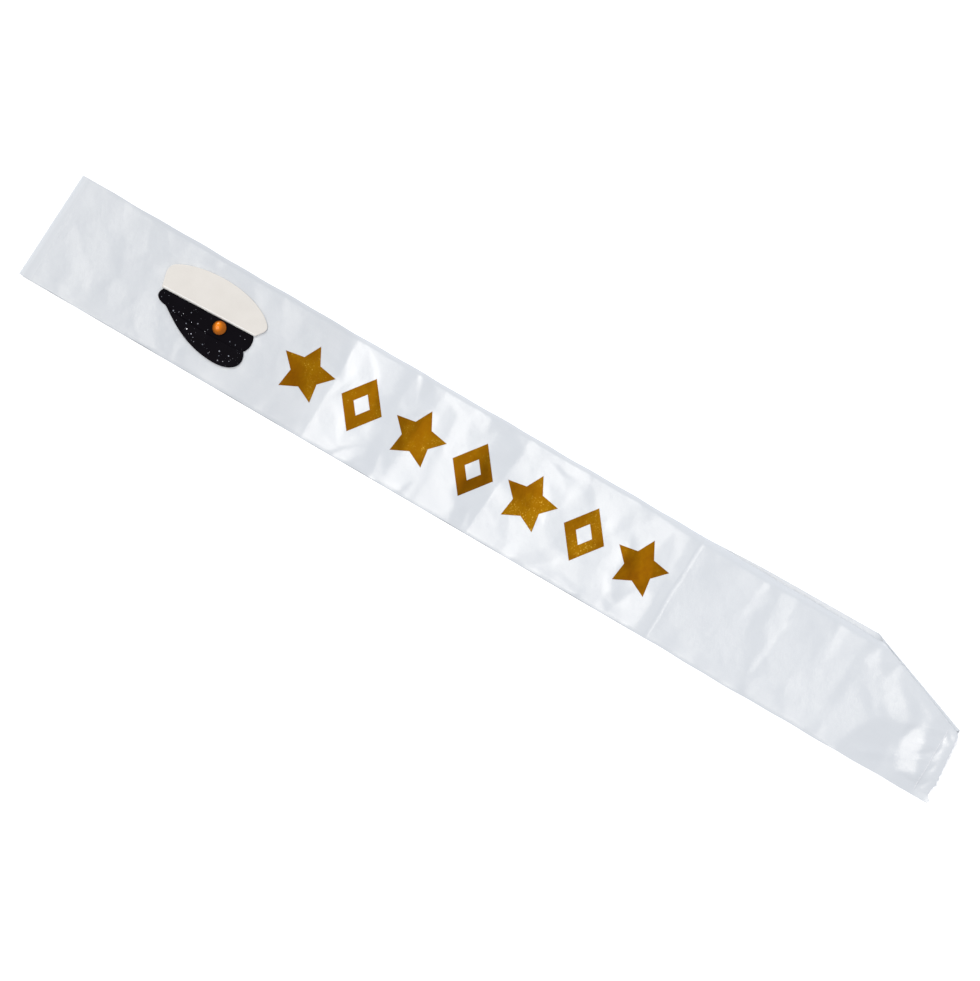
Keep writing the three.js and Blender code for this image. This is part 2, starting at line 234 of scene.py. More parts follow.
def satinFinish():
    look = {
        "pale": (0.685, 0.714, 0.737), "deep": (0.625, 0.66, 0.694),
        "paintedShade": 0.08, "paintedShadeFrom": (0.262, 0.29),  # painted shade: darker towards the shoulder, metres along
        "rough": 0.155, "streakRough": 0.09,
        "pressedRough": 0.35, "pressedFrom": (0.005, 0.013),  # pressed dull along the shoulder fold
        "weft": 5200 / 6.28, "warp": 5200 / 9.4,
    }
    made = Finish("satin", Specular_IOR_Level=0.72, Sheen_Weight=0.06, Sheen_Roughness=0.4)
    cloth = made.place(source="UV")
    cloudy = made.noise(cloth, 14, detail=2)
    streak = made.noise(made.place(scale=(0.12, 1, 1), source="UV"), 900, detail=2, rough=0.7)
    slub = made.noise(made.place(scale=(0.05, 1, 1), source="UV"), 420, detail=3, rough=0.6)
    weft = made.wave(cloth, "X", look["weft"], 0.4)
    warp = made.wave(cloth, "Y", look["warp"], 0.4)
    along = made.node("SeparateXYZ", None, {"Vector": cloth}).maths("ABSOLUTE")
    unshadedColour = made.blend(cloudy * 0.45 + streak * 0.3 + slub * 0.25, look["deep"], look["pale"])
    # painted shade: the satin's colour is blended towards black near the shoulder
    colour = made.blend(made.fade(along, look["paintedShadeFrom"], look["paintedShade"]), unshadedColour, (0.0, 0.0, 0.0))
    ripple = made.bump(made.noise(cloth, 60, detail=3), 0.16, 0.0012)
    floats = made.bump(slub * 0.5 + streak * 0.5, 0.12, 0.00012, under=ripple)
    weave = made.bump(weft * 0.6 + warp * 0.4, 0.16, 0.00006, under=floats)
    dull = made.fade(along, look["pressedFrom"], look["pressedRough"])
    rough = streak * look["streakRough"] + dull + look["rough"]
    return made.wear(Base_Color=colour, Roughness=rough, Normal=weave)


def foilFinish():
    look = {
        "deep": (0.157, 0.057, 0.0005), "mid": (0.195, 0.08, 0.0005), "warm": (0.25, 0.117, 0.001),
        # painted glint: the pale gold put into the colour in small spots, and how much of it
        "paintedGlint": (0.7, 0.45, 0.07), "paintedGlintShare": 0.75,
        "rough": 0.36, "patchRough": 0.2,
    }
    made = Finish("gold_foil", Metallic=0.9, Specular_IOR_Level=0.12)
    where = made.place()
    patches = made.noise(where, 38, detail=4, rough=0.6)
    grainAndGlintNoise = made.noise(where, 800, detail=2, rough=0.5)
    # painted glint: where the colour is made pale gold, in small spots within some patches
    paintedGlintPatches = made.ramp(patches, (0.5, 0.0), (0.68, 1.0))
    sharp = made.ramp(grainAndGlintNoise, (0.6, 0.0), (0.7, 1.0))
    base = made.ramp(patches, (0.32, look["deep"]), (0.5, look["mid"]), (0.68, look["warm"]))
    # painted glint blended into the foil's colour
    colour = made.blend(sharp * paintedGlintPatches * look["paintedGlintShare"], base, look["paintedGlint"])
    crinkle = made.bump(made.noise(where, 150, detail=4, rough=0.6), 0.3, 0.0006)
    grain = made.bump(grainAndGlintNoise, 0.15, 0.0001, under=crinkle)
    return made.wear(Base_Color=colour, Roughness=patches * look["patchRough"] + look["rough"], Normal=grain)


def feltFinish(name, pale, deep, fuzz):
    made = Finish(name, Roughness=0.95, Specular_IOR_Level=0.2, Sheen_Weight=fuzz, Sheen_Roughness=0.6)
    where = made.place()
    fibres = made.noise(made.place(scale=(1, 2.6, 1), turn=0.6), 620, detail=5, rough=0.75)
    matted = made.noise(where, 60, detail=3)
    colour = made.blend(matted * 0.6 + fibres * 0.4, deep, pale)
    nap = made.bump(fibres, 0.7, 0.0006)
    return made.wear(Base_Color=colour, Normal=made.bump(matted, 0.25, 0.0009, under=nap))


def blackFinish(name, roughness, grain):
    made = Finish(name, Specular_IOR_Level=0.03)
    where = made.place()
    fine = made.noise(where, grain, detail=3, rough=0.7)
    worn = made.noise(where, 70, detail=3)
    colour = made.blend(worn, (0.0015, 0.001, 0.002), (0.005, 0.004, 0.0065))
    grit = made.bump(fine, 0.4, 0.00018)
    return made.wear(Base_Color=colour, Roughness=worn * 0.2 + roughness, Normal=grit)


def flakeFinish():
    made = Finish("silver_glitter", Metallic=1.0, Roughness=0.3)
    tint = made.noise(made.place(), 260, detail=1)
    return made.wear(Base_Color=made.ramp(tint, (0.35, (0.16, 0.17, 0.2)), (0.65, (0.5, 0.5, 0.53))))


def buttonFinish():
    made = Finish("button_gold", Metallic=0.92, Specular_IOR_Level=0.2, Coat_Weight=0.45, Coat_Roughness=0.15)
    tarnish = made.noise(made.place(), 320, detail=3)
    colour = made.blend(tarnish, (0.47, 0.116, 0.0005), (0.58, 0.165, 0.0005))
    dents = made.bump(made.noise(made.place(), 500, detail=2), 0.12, 0.0003)
    return made.wear(Base_Color=colour, Roughness=tarnish * 0.14 + 0.4, Normal=dents)


def threadFinish():
    made = Finish("white_thread", Roughness=0.6, Sheen_Weight=0.3)
    twist = made.wave(made.place(), "DIAGONAL", 320, 1.0)
    colour = made.blend(twist, (0.76, 0.775, 0.8), (0.88, 0.89, 0.91))
    return made.wear(Base_Color=colour, Normal=made.bump(twist, 0.4, 0.0001))


satinWhite = satinFinish()
goldFoil = foilFinish()
creamFelt = feltFinish("cream_felt", (0.82, 0.79, 0.735), (0.71, 0.68, 0.625), 0.25)
blackBand = blackFinish("black_band", 0.42, 1500)
blackVisor = blackFinish("black_glitter", 0.32, 900)
silverFlake = flakeFinish()
orangeGold = buttonFinish()
whiteThread = threadFinish()
# the crown's cut edge: pale felt, painted paler still as a highlight
feltEdgeHighlight = feltFinish("felt_edge_highlight", (0.95, 0.94, 0.92), (0.88, 0.87, 0.84), 0.5)
print("materials made")


# The satin ribbon: one sheet, from the back run's cut end round the shoulder to the front run's.

satin = {
    "width": 101, "thick": 0.36, "rest": 6.9, "backRest": 0.24,  # the cloth, and how high each run lies
    "shoulderX": -445.5, "rollSteps": 14, "rollLong": 13.2,  # the roll over the shoulder
    "settleReach": 30,  # no unevenness so near to the roll
    "step": 1.4, "backStep": 10.0, "hipStep": 2.5,  # how fine the sheet is woven
    "rows": 60, "rowSpread": 1.35,
    "tailX": 424, "tailFrom": 0.05, "tailLines": 20,  # the cut ends
    "backTo": 335, "backEndX": 443,
    "curlLow": 0.5, "curlHigh": 1.05, "curlReach": 4.2,  # the long edges curl down
    "curlFade": 160, "curlTo": (344, 362),
    "hipFrom": (332, 348),  # from here the hip end has its own shape
    "restFrom": (105, 190), "restReach": 7.0,  # the upper edge rests on the back run's
    "restDrop": 0.8, "restShare": 0.5,
    "bends": ((0.5, 15, 30), (0.3, 6.3, 9), (0.14, 2.9, 7)),  # the fold lines waver: far, long, slant
    "bendTo": (316, 332),
    "foldRounds": 7,  # how much the soft folds are softened
    "weld": 2e-6, "smoothTo": 50,
}
# How far the runs lie off the middle line. The back run is hidden, and then peeps out more and more.
drifts = {
    "front": -1.0, "frontFrom": (140, 240),
    "hidden": -0.4, "peep": 2.2, "peepFrom": (158, 235), "slant": 1.9, "slantFrom": 180,
}
# The back run's long edges stand off the floor by a mean rise and by waves of (height, length, start).
backEdges = {
    "fade": 60, "to": (340, 362), "reach": 22, "level": 5, "lip": 4.6,
    "upper": (1.7, (0.9, 41, 0), (0.6, 17, 1)), "upperPower": 1.3,
    "lower": (2.5, (1.0, 53, 2), (0.6, 23, 0)), "lowerPower": 1.6,
}
# Small unevenness of the long edges, and of the front run's cut end.
uneven = {
    "edge": 0.35, "edgeLong": 23.0, "edgeShort": 9.7, "edgePower": 6,
    "cut": 0.5, "cutFast": 2.1, "cutSlow": 0.83, "nick": 0.3, "nickFast": 5.3,
}
# The corner that is turned in at the hip end, along a slanting roll.
pleat = {
    "startX": 341, "startY": 54.5, "angle": math.radians(20), "radius": 0.8,
    "inset": 2.3, "endInset": 3.4, "endFrom": (400, 442), "backInset": 0.5,
    "slack": 1.4, "slackReach": 14, "rollRows": 10, "flapRows": 16, "cornerRounds": 20, "clothFrom": 50,
}
# The row of stitches through all layers, and how the back run is drawn up under it.
seam = {
    "x": 434, "low": -46, "high": 12, "layer": 0.65, "layers": 4.0, "layersFrom": (-26, -14),
    "drawFrom": 404, "drawTo": 432, "pleatNear": (-24, -4), "pleatFrom": (355, 415),
}

# Folds across the front run: place at the upper and the lower edge, rise at the upper edge, the middle
# and the lower edge, and how sharp the fold is.
folds = [
    (-443, -448, 2.2, 2.2, 2.2, 0), (-410, -414, 1.7, 1.7, 1.6, 0), (-390, -386, 1.75, 1.6, 1.4, 0),
    (-345, -345, 0.6, 0.6, 0.5, 0.3), (-339, -341, 0.5, 0.5, 0.5, 1), (-316, -308, 0.4, 0.2, -0.1, 0),
    (-276, -274, -0.5, -0.8, -1.0, 0.1), (-244, -240, -1.2, -1.1, -0.95, 0.2),
    (-227, -222, -1.2, -1.4, -1.45, 0.2), (-171.5, -172, -2.7, -2.8, -2.9, 1),
    (-148, -140, -1.4, -1.3, -1.2, 0.4), (-132, -133, -1.05, -1.0, -0.9, 0.2),
    (-123, -126, -0.95, -0.9, -0.85, 0.3), (-83, -96, -2.4, -2.3, -2.1, 0.5),
    (-69, -68, -1.9, -1.05, -0.4, 0.3), (-56, -60, -1.3, -0.9, -0.6, 0.4), (-40, -28, -0.45, 0.1, 0.5, 0.4),
    (-1.5, -9.5, -2.0, -1.5, -1.0, 1), (22, 18, -1.35, -0.45, 0.35, 0.2), (47, 53, -0.1, 0.75, 1.4, 0.5),
    (62, 58, 0.8, 1.05, 1.4, 0.5), (90, 98, 1.65, 2.05, 2.5, 0.4), (109, 104, 2.55, 2.5, 2.4, 0.5),
    (120, 115, 2.85, 2.8, 2.75, 0.4), (134, 131, 3.05, 2.85, 2.6, 0.4), (160, 157.5, 3.8, 3.65, 3.45, 0.6),
    (169.2, 167, 3.4, 3.25, 3.1, 1), (170.8, 168.6, 3.15, 3.0, 2.85, 1), (172.4, 170.2, 3.3, 3.15, 3.0, 1),
    (178, 177, 3.15, 3.0, 2.85, 0.6), (212, 210, 2.3, 2.3, 2.3, 0), (240, 243, 2.2, 1.9, 2.05, 0.1),
    (252, 256, 1.75, 1.65, 1.9, 0.2), (267.5, 268, 2.35, 1.5, 1.35, 0.7), (285, 285, 1.65, 1.4, 1.0, 0.1),
    (304, 306, 0.9, 1.15, 1.0, 0.7), (320, 320, 1.22, 1.15, 1.0, 0.1), (332, 332, 1.3, 1.1, 0.9, 0.1),
    (343, 343, 1.5, 0.9, 0.8, 0),
]
# The front run's cut end, from the lower edge to the upper one.
cutEnd = [
    (-52.5, 449), (-48.6, 450.8), (-44.4, 447.2), (-39, 447.4), (-35, 448.8),
    (-12, 446.7), (8, 445), (16, 442.7),
]


def pleatY(x):
    return pleat["startY"] - math.tan(pleat["angle"]) * (x - pleat["startX"])


def frontRollY(x):
    inset = mix(pleat["inset"], pleat["endInset"], ease(*pleat["endFrom"], x))
    return pleatY(x) - (pleat["radius"] + inset) / math.cos(pleat["angle"])


def backRollY(x):
    return pleatY(x) - (pleat["radius"] + pleat["backInset"]) / math.cos(pleat["angle"])


def frontDrift(x):
    return drifts["front"] * ease(*drifts["frontFrom"], x)


def backDrift(x):
    slanting = np.maximum(0, (x - drifts["slantFrom"]) / (pleat["startX"] - drifts["slantFrom"]))
    return drifts["hidden"] + drifts["peep"] * ease(*drifts["peepFrom"], x) + drifts["slant"] * slanting


def cornerOf(drift, rollY):
    # where a run's upper edge meets its roll
    x = pleat["startX"]
    for _ in range(pleat["cornerRounds"]):
        x += (rollY(x) - (satin["width"] / 2 + drift(x))) / math.tan(pleat["angle"])
    return float(x)


# Crumples: a net of small facets over the front run, stronger where the satin is creased most.
crumple = {
    "wide": 13, "tall": 17, "alongX": (-470, 480), "acrossY": (-75, 76),
    "rise": 0.46, "rest": 0.5, "from": (-185, -145), "to": (148, 168), "blur": 1,
}
tiny = 1e-9


def facetNet(points):
    # joins spots (x, y, rise) into a net of triangles
    spots = [Vector(point[:2]) for point in points]
    corners, _, faces, source, _, _ = geometry.delaunay_2d_cdt(spots, [], [], 0, 1e-6)
    rises = [points[group[0]][2] for group in source]
    return np.array([(corner[0], corner[1], rise) for corner, rise in zip(corners, rises)]), np.array(faces)


def netAt(net, x, y):
    x, y = np.broadcast_arrays(x, y)
    made = np.zeros(x.shape)
    for (ax, ay, ah), (bx, by, bh), (cx, cy, ch) in net[0][net[1]]:
        near = (x >= min(ax, bx, cx)) & (x <= max(ax, bx, cx))
        near = near & (y >= min(ay, by, cy)) & (y <= max(ay, by, cy))
        area = (bx - ax) * (cy - ay) - (cx - ax) * (by - ay)
        if abs(area) < 1e-6 or not near.any():
            continue
        u = ((x[near] - ax) * (cy - ay) - (cx - ax) * (y[near] - ay)) / area
        v = ((bx - ax) * (y[near] - ay) - (x[near] - ax) * (by - ay)) / area
        inside = (u >= -tiny) & (v >= -tiny) & (u + v <= 1 + tiny)
        spots = np.argwhere(near)[inside]
        made[tuple(spots.T)] = (ah + u * (bh - ah) + v * (ch - ah))[inside]
    return made


def crumpleSpots():
    spots = []
    for x in np.arange(*crumple["alongX"], crumple["wide"]):
        for y in np.arange(*crumple["acrossY"], crumple["tall"]):
            dx, dy, dz = rng.uniform(-0.5, 0.5, 3)
            spots.append((x + dx * crumple["wide"], y + dy * crumple["tall"], 2 * dz))
    return spots


crumpleNet = facetNet(crumpleSpots())

# The hip end, pressed and sewn: (x, y, height) of the facets' corners, and how far its creases are rounded.
hip = [
    (330, -80, 7.7), (330, -45, 7.7), (330, -20, 7.8), (330, 10, 7.6), (330, 28, 7.3), (330, 60, 7.2),
    (345, -45, 7.8), (345, -18, 7.8), (345, 8, 7.7), (340, 26, 7.6), (353, 33, 8.2), (349, 47, 7.4),
    (352, 60, 7.2), (354, -80, 7.6), (358, -44, 7.6), (364, -30, 7.7), (372, -13, 7.8), (374, 5, 7.2),
    (364, 22, 7.5), (378, 26, 7.85), (394, 13, 7.9), (402, 0, 7.2), (386, -4, 6.95), (398, 20, 7.4),
    (372, 44, 7.4), (398, -80, 4.5), (398, -46, 4.5), (397, -30, 4.5), (395, -18, 5.3), (402, 34, 7.0),
    (400, 70, 6.9), (405, -28, 4.4), (403, -14, 4.9), (405, -3, 5.9), (413, -40, 3.9), (430, -36, 4.75),
    (424, -20, 5.65), (412, 3, 6.7), (421, -5, 6.6), (418, 12, 6.95), (424, 22, 6.5), (433, -27, 4.7),
    (434, -12, 5.4), (433, 2, 5.7), (434, 10, 5.7), (436, 18, 5.4), (436, -36, 3.1), (434, -46, 1.5),
    (434, -80, 1.4), (436, 60, 5.2), (442, 4, 5.8), (443, -18, 5.0), (446, -30, 3.8), (448, -46, 1.3),
    (455, -80, 1.3), (460, -20, 3.6), (460, 10, 5.0), (460, 80, 5.0),
]
hipNet = facetNet(hip)
hipRounding = 2.6
# Pinches at the seam and beside it: (x, y) of the middle, heading, length, width and rise.
pinches = [
    (434.5, 3, 100, 4, 1.4, -0.2), (436, -8, 80, 6, 1.4, -0.2), (427, -15, 35, 9, 2.4, -0.35),
    (438, -24, 70, 5, 1.8, -0.2), (428, 8, 5, 11, 1.9, 0.35), (430, 1, -8, 9, 1.6, -0.3),
    (427, -7, 12, 9, 1.8, 0.3), (431, -20, 8, 8, 1.5, 0.3), (430, -33, -6, 10, 1.8, 0.25),
    (431, -41, 4, 9, 1.7, -0.25), (440, -37, 60, 4, 1.5, -0.2), (441, -13, 30, 4, 1.8, 0.2),
    (439, 8, 150, 4, 1.6, -0.3), (410, 14, -25, 16, 3.5, -0.2), (390, -36, 20, 16, 4, 0.5),
    (366, -2, -50, 16, 5, -0.2),
]


def pinchesAt(x, y):
    rise = 0 * x
    for cx, cy, heading, run, spread, most in pinches:
        turn = math.radians(heading)
        along = (x - cx) * math.cos(turn) + (y - cy) * math.sin(turn)
        aside = (y - cy) * math.cos(turn) - (x - cx) * math.sin(turn)
        rise = rise + most * np.exp(-((along / run) ** 2) - (aside / spread) ** 2)
    return rise


def hipHeight(x, y):
    # the net's creases, rounded off by a few samples beside each point
    far, near = hipRounding, hipRounding / 2
    offsets = [(0, 0), (far, 0), (-far, 0), (0, far), (0, -far), (near, near), (-near, -near)]
    return sum(netAt(hipNet, x + dx, y + dy) for dx, dy in offsets) / len(offsets) + pinchesAt(x, y)


def riseOf(fold, across):
    # a fold's rise at a share of the width, through its upper, middle and lower values
    upper, middle, lower = fold[2:5]
    return np.where(across > 0.5, mix(middle, upper, across * 2 - 1), mix(lower, middle, across * 2))


def foldsAt(x, y):
    across = (y + satin["width"] / 2) / satin["width"]
    made = np.zeros(np.broadcast(x, y).shape) + riseOf(folds[-1], across)
    for a, b in zip(folds, folds[1:]):
        ax, bx = mix(a[1], a[0], across), mix(b[1], b[0], across)
        here = (x >= ax) & (x <= bx)
        made = np.where(here, mix(riseOf(a, across), riseOf(b, across), (x - ax) / (bx - ax)), made)
    return made


def pastEdge(off, reach):
    # 0 inside, rising to 1 at a long edge
    return np.maximum(0, off - satin["width"] / 2 + reach) / reach


def waves(x, mean, *rows):
    # a mean with waves of (height, length, start) along the sash added to it
    for high, long, start in rows:
        mean = mean + high * np.sin(x / long + start)
    return mean


def frontShape(x, y, rise):
    # height of the front run's cloth, from the rise of its folds at the same points
    off = y - frontDrift(x)
    loosened = ease(satin["shoulderX"], satin["shoulderX"] + satin["curlFade"], x)
    loosened = loosened * (1 - ease(*satin["curlTo"], x))
    most = np.where(off > 0, satin["curlHigh"], satin["curlLow"])
    resting = ease(*satin["restFrom"], x) * loosened
    curl = most * pastEdge(np.abs(off), satin["curlReach"]) ** 2 * loosened
    drop = satin["restDrop"] + rise * satin["restShare"]
    curl = curl + drop * pastEdge(off, satin["restReach"]) ** 2 * resting
    return mix(satin["rest"] + rise, hipHeight(x, y), ease(*satin["hipFrom"], x)) - curl


def frontHeight(x, y):
    return frontShape(x, y, foldsAt(x, y))


def backHeight(x, y):
    # the long edges waver off the floor, and on the right the front run's edge rests on the upper one
    off = y - backDrift(x)
    started = ease(satin["shoulderX"], satin["shoulderX"] + backEdges["fade"], x)
    started = started * (1 - ease(*backEdges["to"], x))
    resting = ease(*satin["restFrom"], x)
    reach, level = backEdges["reach"], satin["width"] / 2 - backEdges["level"]
    sloping = pastEdge(off, reach) ** backEdges["upperPower"]
    upper = mix(waves(x, *backEdges["upper"]), backEdges["lip"], resting)
    upper = upper * mix(sloping, ease(level - reach, level, off), resting)
    lower = waves(x, *backEdges["lower"]) * pastEdge(-off, reach) ** backEdges["lowerPower"]
    # at the seam it is drawn up under the front run, or under the turned-in corners
    room = mix(seam["layer"], seam["layers"], ease(*seam["layersFrom"], y))
    nearPleat = ease(*seam["pleatNear"], y - backRollY(x)) * ease(*seam["pleatFrom"], x)
    drawing = np.maximum(ease(seam["drawFrom"], seam["drawTo"], x), nearPleat)
    drawn = np.maximum(0, hipHeight(x, y) - room - satin["backRest"]) * drawing
    return satin["backRest"] + (upper + lower) * started + drawn


runs = {
    "front": {"height": frontHeight, "drift": frontDrift, "roll": frontRollY, "turn": -1},
    "back": {"height": backHeight, "drift": backDrift, "roll": backRollY, "turn": 1},
}
for run in runs.values():
    run["corner"] = cornerOf(run["drift"], run["roll"])


def cutX(y):
    return np.interp(y, *zip(*cutEnd))


def endX(run, y):
    return satin["backEndX"] + 0 * y if run is runs["back"] else cutX(y)


def linesOf(run, marks, step):
    # lines across a run, as (lower, upper) places, with how sharp the fold there is
    lines = [(marks[0][1], marks[0][0], marks[0][5])]
    for a, b in zip(marks, marks[1:]):
        pieces = max(1, round(((b[0] + b[1]) - (a[0] + a[1])) / 2 / step))
        for i in range(1, pieces + 1):
            part = i / pieces
            lines.append((mix(a[1], b[1], part), mix(a[0], b[0], part), b[5] if i == pieces else 0))
    start = run["corner"]
    pieces = round((satin["tailX"] - start) / min(step, satin["hipStep"]))
    lines += [(x, x, 0) for x in np.linspace(start, satin["tailX"], pieces + 1)]
    return lines


# Places across the width, from -1 to 1, closer together towards the long edges.
shares = np.linspace(-1, 1, satin["rows"])
shares = np.sin(shares * satin["rowSpread"]) / math.sin(satin["rowSpread"])


def flatPoints(run, lines, tail=0.0):
    low = np.array([line[0] for line in lines])[:, None]
    high = np.array([line[1] for line in lines])[:, None]
    middle = (low + high) / 2
    top = np.minimum(satin["width"] / 2 + run["drift"](middle), run["roll"](middle))
    bottom = run["drift"](middle) - satin["width"] / 2
    y = mix(bottom, top, (shares[None, :] + 1) / 2)
    x = mix(low, high, (y + satin["width"] / 2) / satin["width"])
    x = mix(x, endX(run, y), tail)
    if tail > 0:
        y = np.minimum(y, np.maximum(bottom, run["roll"](x)))
    return x, y


def flapPoints(run, lines, tail=0.0):
    # the corner that is turned in: round the roll, and then flat
    topX, topY = (a[:, -1:] for a in flatPoints(run, lines, tail))
    nx, ny = math.sin(pleat["angle"]), math.cos(pleat["angle"])
    at = np.array([line[1] for line in lines])[:, None]
    upper = satin["width"] / 2 + run["drift"](at)
    tightened = ease(run["corner"], run["corner"] + pleat["slackReach"], at)
    radius = pleat["radius"] * mix(pleat["slack"], 1, tightened)
    halfTurn = math.pi * radius
    beyond = np.maximum(0, upper - topY) * ny
    rows = np.arange(1, pleat["flapRows"] + pleat["rollRows"] + 1)[None, :]
    share = rows / (pleat["flapRows"] + pleat["rollRows"])
    rollShare = pleat["rollRows"] / (pleat["flapRows"] + pleat["rollRows"])
    onRoll = np.minimum(halfTurn * rows / pleat["rollRows"], beyond * share)
    rolled = np.minimum(halfTurn, beyond * rollShare)
    past = mix(rolled, beyond, (share - rollShare) / (1 - rollShare))
    reach = np.where(rows <= pleat["rollRows"], onRoll, past)
    angle = np.minimum(reach / radius, math.pi)
    offset = radius * np.sin(angle) - np.maximum(0, reach - halfTurn)
    x = topX - nx * reach + nx * offset
    y = topY + reach / ny - ny * reach + ny * offset
    return x, y, run["turn"] * radius * (1 - np.cos(angle)), reach / ny


def relax(rise, keep, rounds):
    # softens the folds along the sash, and keeps the sharp ones
    loose = (1 - keep)[:, None]
    for _ in range(rounds):
        middle = (np.roll(rise, 1, 0) + np.roll(rise, -1, 0)) / 2
        middle[0], middle[-1] = rise[0], rise[-1]
        rise = mix(rise, middle, 0.5 * loose)
    return rise


def ribbonSheet():
    points, maps, faces = [], [], []

    def take(x, y, z, u, v):
        # adds a block of points and returns their numbers
        first = len(points)
        x, y, z, u, v = np.broadcast_arrays(x, y, z, u, v)
        points.extend(zip((x + shiftX).ravel(), (y + shiftY).ravel(), z.ravel()))
        maps.extend(zip(u.ravel(), v.ravel()))
        return np.arange(first, len(points)).reshape(x.shape)

    def weave(grid):
        a, b, c, d = grid[:-1, :-1], grid[1:, :-1], grid[1:, 1:], grid[:-1, 1:]
        faces.extend(np.stack([a, b, c, d], -1).reshape(-1, 4).tolist())

    tails = np.linspace(satin["tailFrom"], 1, satin["tailLines"])
    front, back = runs["front"], runs["back"]
    frontLines = linesOf(front, folds, satin["step"])
    backLines = linesOf(back, [folds[0], (satin["backTo"], satin["backTo"], 0, 0, 0, 0)], satin["backStep"])
    tailLine = [(satin["tailX"], satin["tailX"], 0)]

    # the front run's folds and crumples
    fx, fy = flatPoints(front, frontLines)
    near = ease(*crumple["from"], fx) * (1 - ease(*crumple["to"], fx))
    settled = ease(satin["shoulderX"], satin["shoulderX"] + satin["settleReach"], fx)
    facets = crumple["rise"] * netAt(crumpleNet, fx, fy) * mix(crumple["rest"], 1, near) * settled
    keep = np.array([line[2] for line in frontLines])
    rise = relax(foldsAt(fx, fy), keep, satin["foldRounds"]) + relax(facets, 0 * keep, crumple["blur"])
    for _ in range(crumple["blur"]):
        rise[:, 1:-1] = rise[:, 1:-1] * 0.5 + (rise[:, 2:] + rise[:, :-2]) * 0.25
    fz = frontShape(fx, fy, rise)
    bx, by = flatPoints(back, backLines)
    bz = backHeight(bx, by)

    # the fold lines and the long edges waver a little
    bent = sum(far * np.sin(fy / long + fx / slant) for far, long, slant in satin["bends"])
    fx = fx + bent * settled * (1 - ease(*satin["bendTo"], fx))
    waver = uneven["edge"] * np.sin(fx / uneven["edgeLong"]) * np.sin(fx / uneven["edgeShort"] + 1)
    waver = waver * np.abs(shares[None, :]) ** uneven["edgePower"] * settled

    # the two runs and the roll over the shoulder between them
    half = satin["rollLong"] / 2
    frontGrid = take(fx, fy + waver, fz, fx - satin["shoulderX"] + half, fy)
    radius = (fz[0] - bz[0]) / 2
    roll = []
    for step in range(1, satin["rollSteps"]):
        angle = math.pi * step / satin["rollSteps"]
        x, z = fx[0] - radius * np.sin(angle), bz[0] + radius * (1 - np.cos(angle))
        roll.append(take(x, fy[0], z, mix(-half, half, step / satin["rollSteps"]), fy[0]))
    backGrid = take(bx, by, bz, satin["shoulderX"] - bx - half, by)

    # the cut ends
    frontTail, backTail = [], []
    for tail in tails:
        x, y = flatPoints(front, tailLine, tail)
        tatter = uneven["cut"] * tail * np.sin(y * uneven["cutFast"]) * np.sin(y * uneven["cutSlow"] + 2)
        tatter = tatter + uneven["nick"] * tail * np.sin(y * uneven["nickFast"])
        along = x[0] - satin["shoulderX"] + half
        frontTail.append(take(x[0] + tatter[0], y[0], frontHeight(x, y)[0], along, y[0]))
        x, y = flatPoints(back, tailLine, tail)
        backTail.append(take(x[0], y[0], backHeight(x[0], y[0]), satin["shoulderX"] - x[0] - half, y[0]))
    weave(np.array([*backTail[::-1], *backGrid[::-1], *roll, *frontGrid, *frontTail]))

    # the turned-in corners
    sides = ((front, frontLines, frontGrid, frontTail), (back, backLines, backGrid, backTail))
    for run, lines, grid, tailGrid in sides:
        first = next(i for i, line in enumerate(lines) if line[1] >= run["corner"] - 1e-6)
        edges = [grid[first:, -1], *(row[-1:] for row in tailGrid)]
        columns = []
        for tail, edge in zip([0.0, *tails], edges):
            x, y, turn, reach = flapPoints(run, lines[first:] if tail == 0 else tailLine, tail)
            z = run["height"](x, y) + turn
            block = take(x, y, z, x - satin["shoulderX"], pleat["clothFrom"] + reach)
            columns.extend(np.concatenate([edge[:, None], block], 1))
        columns = np.array(columns)
        weave(columns if run is front else columns[::-1])

    mesh = bpy.data.meshes.new("satin_ribbon_sheet")
    mesh.from_pydata([tuple(c * mm for c in p) for p in points], [], faces)
    layer = mesh.uv_layers.new(name="cloth")
    loops = np.empty(len(mesh.loops), int)
    mesh.loops.foreach_get("vertex_index", loops)
    layer.data.foreach_set("uv", (np.array(maps)[loops] * mm).ravel())
    piece = bpy.data.objects.new("satin_sheet", mesh)
    bpy.context.collection.objects.link(piece)
    openMesh(piece)
    bpy.ops.mesh.remove_doubles(threshold=satin["weld"])
    bpy.ops.mesh.dissolve_degenerate(threshold=satin["weld"])
    closeMesh()
    modify(piece, "SOLIDIFY", thickness=satin["thick"] * mm, offset=0)
    return smooth(piece, satin["smoothTo"])


sheet = ribbonSheet()
sheet.data.materials.append(satinWhite)
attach(sheet, "root")
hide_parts("satin_ribbon")
print("satin woven:", len(sheet.data.polygons), "faces")


# Things that lie on the satin.

satinTree = BVHTree.FromObject(sheet, bpy.context.evaluated_depsgraph_get())
down = Vector((0, 0, -1))


def satinUnder(x, y):
    # the satin's top under a spot, all in metres
    hit = satinTree.ray_cast(Vector((x, y, above)), down)[0]
    return hit.z if hit else satin["rest"] * mm


def layOnSatin(piece, lift):
    # drops each point straight down onto the satin, and lifts it by its own height over the piece's foot
    points = readPoints(piece)
    for i, (x, y, z) in enumerate(points):
        points[i, 2] = satinUnder(x, y) + lift * mm + z
    writePoints(piece, points)


def dress(piece, finish, nodes):
    piece.data.materials.clear()
    piece.data.materials.append(finish)
    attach(piece, "root")
    if nodes:
        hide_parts(nodes)
    return piece


foil = {
    "count": 7, "firstX": -196.6, "pitch": 55.2, "thick": 0.14, "lift": 0.03,
    "starTips": 5, "starOuter": 26, "starInner": 13.6, "starCuts": 13,
    "lozengeWide": 20, "lozengeHigh": 26, "lozengeRim": 9.5, "lozengeCuts": 14, "smoothTo": 40,
}


